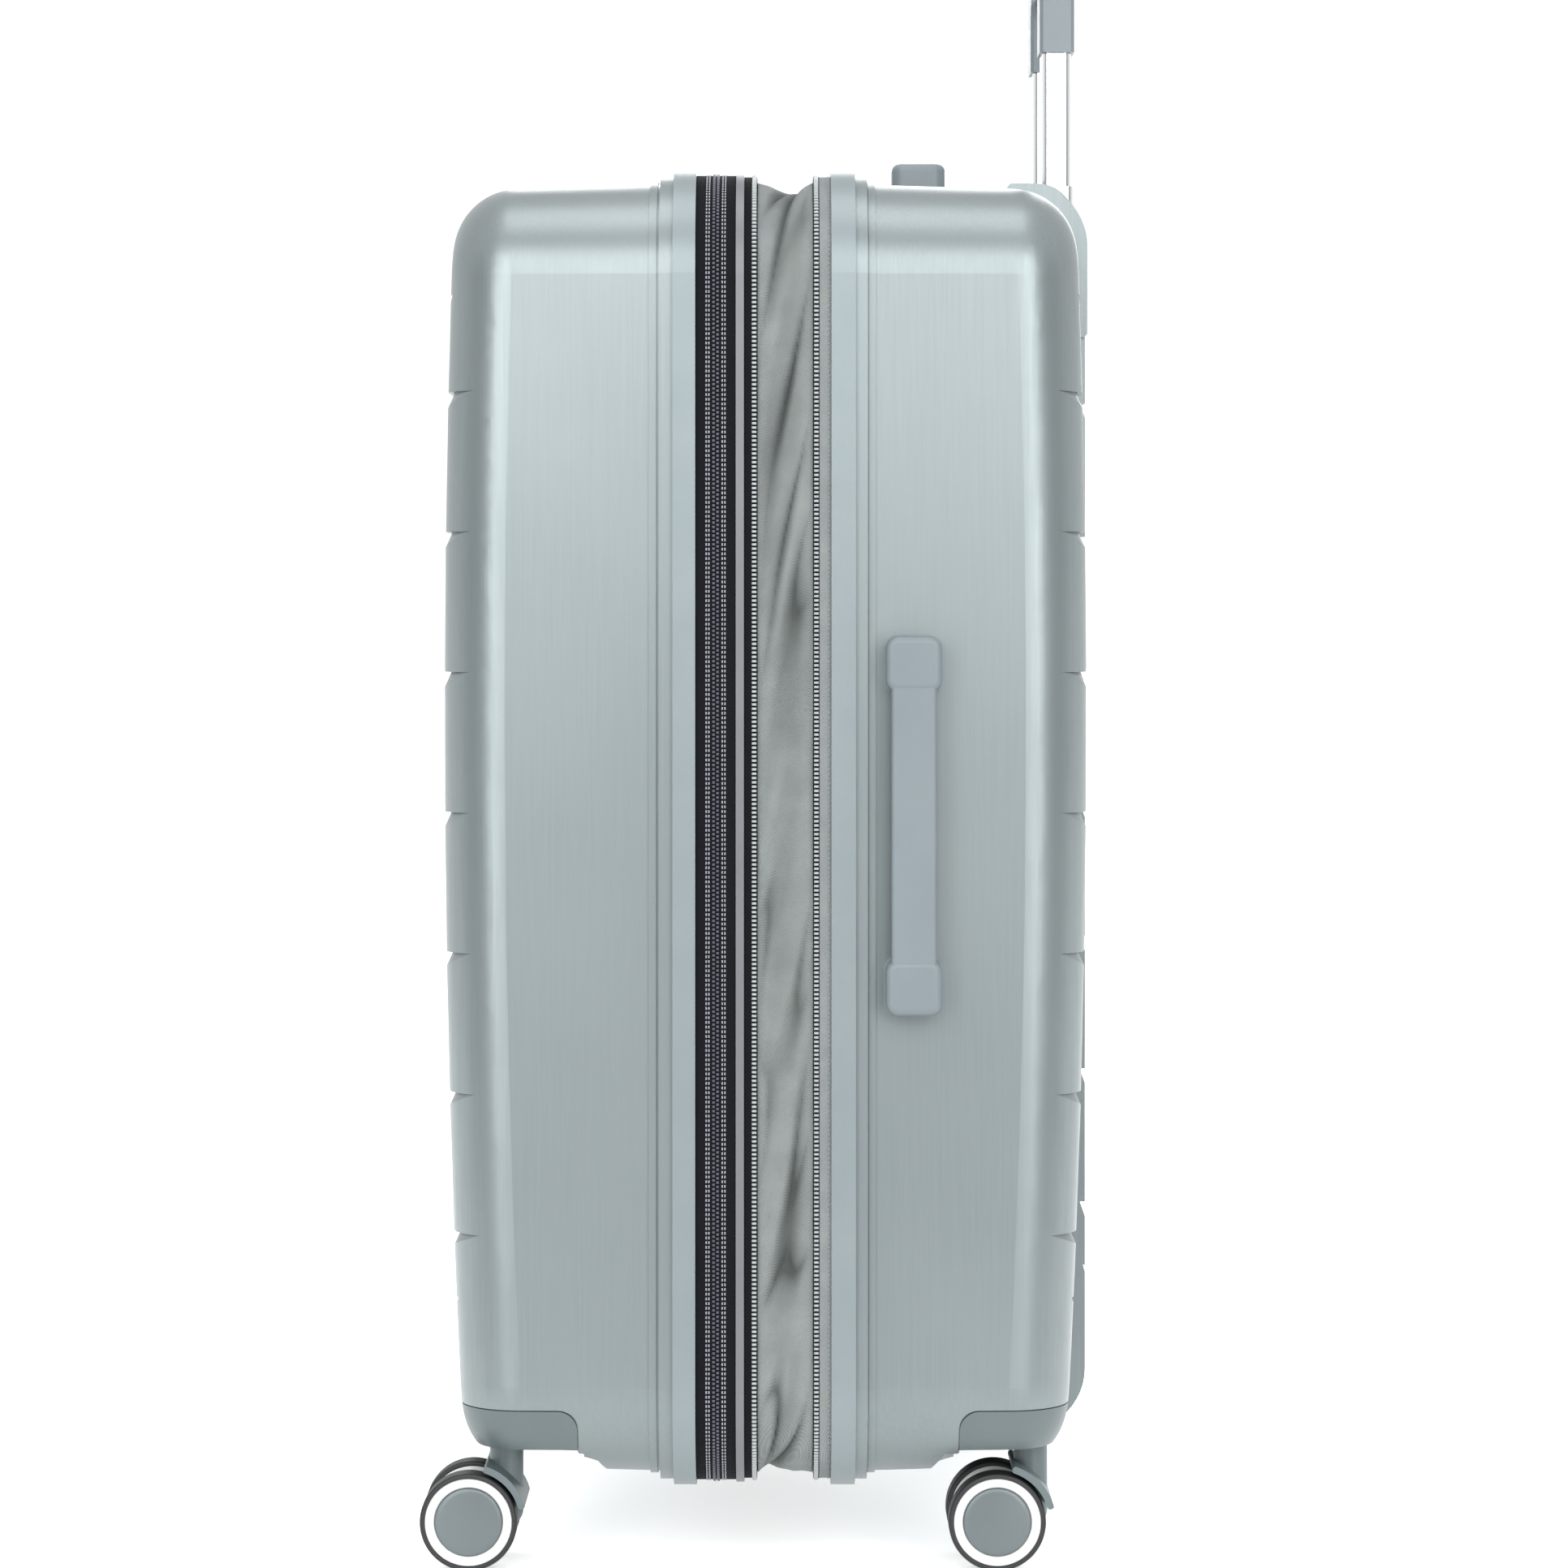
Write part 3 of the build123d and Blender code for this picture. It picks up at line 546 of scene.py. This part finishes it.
class SUITCASE_OT_zips(bpy.types.Operator):
    """Interlocked teeth, stitch rows and tape edge of the zips"""
    bl_idname = "suitcase.zips"
    bl_label = "Zips"

    def execute(self, context):
        sizes = context.scene.suitcase_sizes
        mid_edge, rear_edge = span("mid_expansion_zip", 0)[1], span("rear_expansion_zip", 0)[0]
        # name, body, inset in mm, x, half width and rise in mm, phase in pitches, finish
        teeth = (
            ("main_teeth_lid", "lid", 2.8, ZIP_MIDDLE - 1.1 * MM, 0.8, 0.9, 0.0, "coil"),
            ("main_teeth_mid", "mid_frame", 2.8, ZIP_MIDDLE + 1.1 * MM, 0.8, 0.9, 0.5, "coil"),
            ("expansion_teeth_mid", "mid_frame", 3.6, mid_edge - 1.5 * MM, 1.3, 1.3, 0.0, "teeth"),
            ("expansion_teeth_rear", "rear_case", 3.9, rear_edge + 1.5 * MM, 1.3, 1.4, 0.5, "teeth"),
        )
        for name, body, inset, x, half, rise, phase, finish in teeth:
            places = set_round(inset * MM, sizes.tooth_pitch, x, phase)
            studs(name, places, (half * MM, TOOTH_HALF_LENGTH, rise * MM), finishes[finish], body)
        # name, body, inset in mm, x of each row
        rows = (
            ("lid", "lid", 2.8, (ZIP_MIDDLE - 3.7 * MM, ZIP_MIDDLE - 5.2 * MM)),
            ("mid", "mid_frame", 2.8, (ZIP_MIDDLE + 3.7 * MM, ZIP_MIDDLE + 5.2 * MM)),
            ("expansion_rear", "rear_case", 3.6, (rear_edge + 8.6 * MM,)),
        )
        for name, body, inset, stations in rows:
            places = []
            for x in stations:
                places += set_round(inset * MM, sizes.stitch_pitch, x)
            studs(f"stitches_{name}", places, STITCH, finishes["thread"], body)
        # dark tape that shows between the rear row's teeth
        steps = 600
        at, total = outline(3.45 * MM)
        walk = [at(total * k / steps)[0] for k in range(steps)]
        verts = [point + Vector((x, 0, 0)) for x in (rear_edge, rear_edge + 3.2 * MM) for point in walk]
        faces = grid_faces(2, steps, wrap=True)
        tape = piece("expansion_tape_edge", verts, faces, finishes["zip"], "rear_case")
        applied(tape, "SOLIDIFY", thickness=0.2 * MM, offset=0.0)
        return {"FINISHED"}


class SUITCASE_OT_gusset(bpy.types.Operator):
    """Creased expansion fabric between the two halves of the expansion zip"""
    bl_idname = "suitcase.gusset"
    bl_label = "Gusset"

    def execute(self, context):
        sag = context.scene.suitcase_sizes.gusset_sag
        across, around = 26, 1100
        at, total = outline(7.2 * MM)
        verts, shades = [], []
        for i in range(across):
            share = i / (across - 1)
            pull = sin(pi * share)
            for k in range(around):
                distance = total * k / around
                point, out = at(distance)
                x = GUSSET[0] + (GUSSET[1] - GUSSET[0]) * share
                # folds run along the band and lean across it, about 1 in 4
                lean = distance + x * 3.6
                wander = 0.35 * noise.noise(Vector((distance * 6, x * 12, 1.0)))
                long_fold = noise.noise(Vector((lean * 13 + wander, x * 22, 3.0)))
                valley = max(0.0, 1 - 3.2 * abs(noise.noise(Vector((lean * 15 + wander, x * 30, 9.0)))))
                short_fold = noise.noise(Vector((lean * 46, x * 70, 7.0)))
                depth = pull * (sag + MM * (6.0 * long_fold + 5.0 * valley ** 2 + 0.8 * short_fold))
                # the cloth bulges no more than 0.8 mm past its sewn edges
                depth = max(depth, -0.8 * MM)
                # painted shade: the fold value grows with the fold's depth and in the valleys, and darkens
                # the gusset's colour there
                shades.append(max(0.0, min(1.0, depth / (9 * MM) - 0.25 + 0.5 * pull * valley ** 3)))
                verts.append(point + Vector((x, 0, 0)) - out * depth)
        faces = grid_faces(across, around, wrap=True)
        cloth = piece("gusset_fabric", verts, faces, finishes["gusset"], None)
        # the fold attribute carries the painted shade to the gusset's finish
        fold = cloth.data.attributes.new("fold", "FLOAT", "POINT")
        for value, shade in zip(fold.data, shades):
            value.value = shade
        applied(cloth, "SOLIDIFY", thickness=0.9 * MM, offset=0.0)
        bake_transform(cloth)
        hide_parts("gusset")
        return {"FINISHED"}


class SUITCASE_OT_wheels(bpy.types.Operator):
    """Bright ring and domed cap of every wheel"""
    bl_idname = "suitcase.wheels"
    bl_label = "Wheels"

    def execute(self, context):
        for caster in CASTERS:
            for letter, sign in (("a", -1), ("b", 1)):
                hub, body = f"{caster}_hub_{letter}", f"{caster}_wheel_{letter}"
                low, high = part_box(hub)
                centre = (low + high) / 2
                radius, half = (high.x - low.x) / 2, (high.y - low.y) / 2
                ring_profile = [
                    (AXLE_HOLE, -half), (radius, -half), (radius, half - 0.8 * MM), (radius - 0.8 * MM, half),
                    (radius - 2.4 * MM, half), (CAP_RADIUS + 1.6 * MM, half - 1.4 * MM),
                    (CAP_RADIUS + 0.5 * MM, half - 1.6 * MM), (CAP_RADIUS + 0.2 * MM, half - 3.2 * MM),
                    (AXLE_HOLE, half - 3.2 * MM), (AXLE_HOLE, -half),
                ]
                ring = lathe(f"{caster}_ring_{letter}", ring_profile, centre, sign, finishes["ring"], body)
                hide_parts(hub)
                rim, edge, crown = CAP_RADIUS - 0.8 * MM, half - 0.9 * MM, 0.9 * MM
                dome = [(CAP_RADIUS, half - 3.0 * MM), (CAP_RADIUS, half - 1.4 * MM), (rim, edge)]
                steps = 8
                for k in range(1, steps + 1):
                    share = k / steps
                    dome.append((rim * (1 - share) + 0.2 * MM * share, edge + crown * sin(share * pi / 2)))
                disc = lathe(f"{caster}_cap_{letter}", dome, centre, sign, finishes["cap"], body)
        return {"FINISHED"}


def tub_point(share, inset):
    """Point and outward normal at a share of the way round, for an inset that may pass the corner radius."""
    half_y, half_z = HALF_WIDTH - inset, HALF_HEIGHT - inset
    # a rounded rectangle as a superellipse, whose corners get rounder as it shrinks
    power = 2 + 14 * min(half_y, half_z) / HALF_WIDTH
    across, up = cos(TAU * share), sin(TAU * share)
    y = half_y * abs(across) ** (2 / power) * (1 if across >= 0 else -1)
    z = half_z * abs(up) ** (2 / power) * (1 if up >= 0 else -1)
    return Vector((0, y, z + MID_Z)), Vector((0, across, up)).normalized()


class SUITCASE_OT_lining(bpy.types.Operator):
    """Gathered lining of both halves, the hinge cloth and the packing straps"""
    bl_idname = "suitcase.lining"
    bl_label = "Lining"

    def tub(self, name, body, mouth, floor, near, top):
        """Fabric tub of one half, from the mouth to the floor; near and top keep it clear of the fittings."""
        sign = 1 if floor > mouth else -1
        # down the wall, round into the floor, and across the floor to the middle
        sections = []
        for step in (0, 12, 25, 38, 52, 64, 84):
            sections.append((mouth + sign * step * MM, (12 + 0.05 * step) * MM))
        for k in range(7):
            angle = k / 6 * pi / 2
            inset = LINING_INSET + LINING_ROUND * (1 - cos(angle))
            sections.append((floor - sign * LINING_ROUND * (1 - sin(angle)), inset))
        on_floor_from = len(sections)
        for inset in (70, 110, 160, 200, 235):
            sections.append((floor, inset * MM))
        around = 400
        verts = []
        for row, (x, inset) in enumerate(sections):
            from_mouth = abs(x - mouth)
            # the lower side rises from 54 to 98 mm above the floor, over the caster housings
            bottom = (54 + 44 * min(1.0, from_mouth / (64 * MM))) * MM
            # the near side and the top draw in over the handle guides and the lock
            drawn = min(1.0, from_mouth / (28 * MM))
            low_y = MOUTH_NEAR * (1 - drawn) + near * drawn
            high_z = MOUTH_TOP * (1 - drawn) + top * drawn
            # the cloth is smooth where it is sewn in at the mouth, and gathers within 25 mm of it
            loose = min(1.0, from_mouth / (25 * MM))
            for k in range(around):
                point, out = tub_point(k / around, min(inset, HALF_WIDTH - 6 * MM))
                ruck = noise.noise(Vector((point.y * 9, point.z * 9, x * 30)))
                ruck += 0.5 * noise.noise(Vector((point.y * 30, point.z * 30, x * 50)))
                place = Vector((x, max(point.y, low_y), min(max(point.z, bottom), high_z)))
                inward = -out if row < on_floor_from else Vector((-sign, 0, 0))
                verts.append(place + inward * 2.2 * MM * (ruck + 0.6) * loose)
        faces = grid_faces(len(sections), around, wrap=True)
        faces.append(tuple((len(sections) - 1) * around + k for k in range(around)))
        cloth = piece(name, verts, faces, finishes["lining"], body)

    def straps(self, width):
        """Two elastic straps that lie up the rear half's floor."""
        x = span("trolley_sleeves", 0)[0] - 8 * MM
        for name, y in (("near", -STRAP_SPREAD), ("far", STRAP_SPREAD)):

            def spot(up, across):
                bow = 0.8 * MM * sin(pi * up)
                return Vector((x - bow, y + width * (across - 0.5), STRAP_FOOT + STRAP_LENGTH * up))

            strap = band(f"packing_strap_{name}", 60, 5, spot, 1.4 * MM, finishes["strap"], "rear_case")

    def hinge(self):
        """Cloth across the far side's zip that the lid turns on."""
        start, end = LID_ZIP[0] - 8 * MM, MID_ZIP[1] + 3 * MM

        def spot(up, across):
            x, z = start + (end - start) * across, HINGE_FOOT + HINGE_LENGTH * up
            return Vector((x, HALF_WIDTH + 1.0 * MM, z))

        tape = band("hinge_cloth", 80, 17, spot, 1.0 * MM, finishes["zip"], None)
        bend_start, bend_end = (LID_ZIP[1] - 3 * MM, 0, MID_Z), (MID_ZIP[0] + 3 * MM, 0, MID_Z)
        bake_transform(tape)
        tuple(bend_start)
        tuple(bend_end)

    def execute(self, context):
        lid_floor, lock_foot = span("lid_shell", 0)[0], span("lock_body", 2)[0]
        self.tub("lid_lining", "lid", LID_ZIP[0] + 1 * MM, lid_floor + 14 * MM, -240 * MM, lock_foot - 5 * MM)
        sleeves, guides = span("trolley_sleeves", 0)[0], span("side_handle_base", 1)[1]
        self.tub("rear_lining", "rear_case", span("rear_rim", 0)[0] + 1 * MM, sleeves - 3 * MM,
                 guides + 4 * MM, span("top_handle_base", 2)[0] - 4 * MM)
        self.straps(context.scene.suitcase_sizes.strap_width)
        self.hinge()
        return {"FINISHED"}


class SUITCASE_OT_lock(bpy.types.Operator):
    """Numerals round the dials of the lock"""
    bl_idname = "suitcase.lock"
    bl_label = "Lock numerals"

    def execute(self, context):
        for n in (1, 2, 3):
            low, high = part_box(f"lock_dial_{n}")
            centre, radius = (low + high) / 2, (high.z - low.z) / 2
            for digit in range(10):
                curve = bpy.data.curves.new(f"digit_{n}_{digit}", "FONT")
                curve.body = str(digit)
                curve.size = 3.6 * MM
                curve.extrude = 0.05 * MM
                curve.align_x = "CENTER"
                curve.align_y = "CENTER"
                lettering = bpy.data.objects.new(f"digit_{n}_{digit}", curve)
                context.scene.collection.objects.link(lettering)
                turn = Matrix.Rotation(TAU * (digit + 0.5) / 10, 4, "Y")
                lie = Matrix.Translation((0, 0, radius + 0.02 * MM)) @ Matrix.Rotation(pi / 2, 4, "Z")
                lettering.matrix_world = Matrix.Translation(centre) @ turn @ lie
                lettering.data.materials.append(finishes["ink"])
                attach(lettering, f"lock_dial_{n}")
        return {"FINISHED"}


OPERATORS = (
    SUITCASE_OT_finishes, SUITCASE_OT_stage, SUITCASE_OT_zips, SUITCASE_OT_gusset, SUITCASE_OT_wheels,
    SUITCASE_OT_lining, SUITCASE_OT_lock,
)


class SUITCASE_PT_panel(bpy.types.Panel):
    """Settings and steps of the suitcase"""
    bl_idname = "SUITCASE_PT_panel"
    bl_label = "Suitcase"
    bl_space_type = "VIEW_3D"
    bl_region_type = "UI"
    bl_category = "Suitcase"

    def draw(self, context):
        for group in (context.scene.suitcase_sizes, context.scene.suitcase_colours):
            for key in group.__annotations__:
                self.layout.prop(group, key)
        for operator in OPERATORS:
            self.layout.operator(operator.bl_idname)


CLASSES = (SuitcaseColours, SuitcaseSizes) + OPERATORS + (SUITCASE_PT_panel,)


def register():
    """Register the classes and the scene's settings."""
    for made in CLASSES:
        bpy.utils.register_class(made)
    bpy.types.Scene.suitcase_colours = bpy.props.PointerProperty(type=SuitcaseColours)
    bpy.types.Scene.suitcase_sizes = bpy.props.PointerProperty(type=SuitcaseSizes)


def unregister():
    """Remove the settings and classes."""
    del bpy.types.Scene.suitcase_sizes
    del bpy.types.Scene.suitcase_colours
    for made in reversed(CLASSES):
        bpy.utils.unregister_class(made)


def main():
    """Build every piece in order."""
    register()
    for operator in OPERATORS:
        group, name = operator.bl_idname.split(".")
        getattr(getattr(bpy.ops, group), name)()
    bpy.context.view_layer.update()


if __name__ == "__main__":
    main()
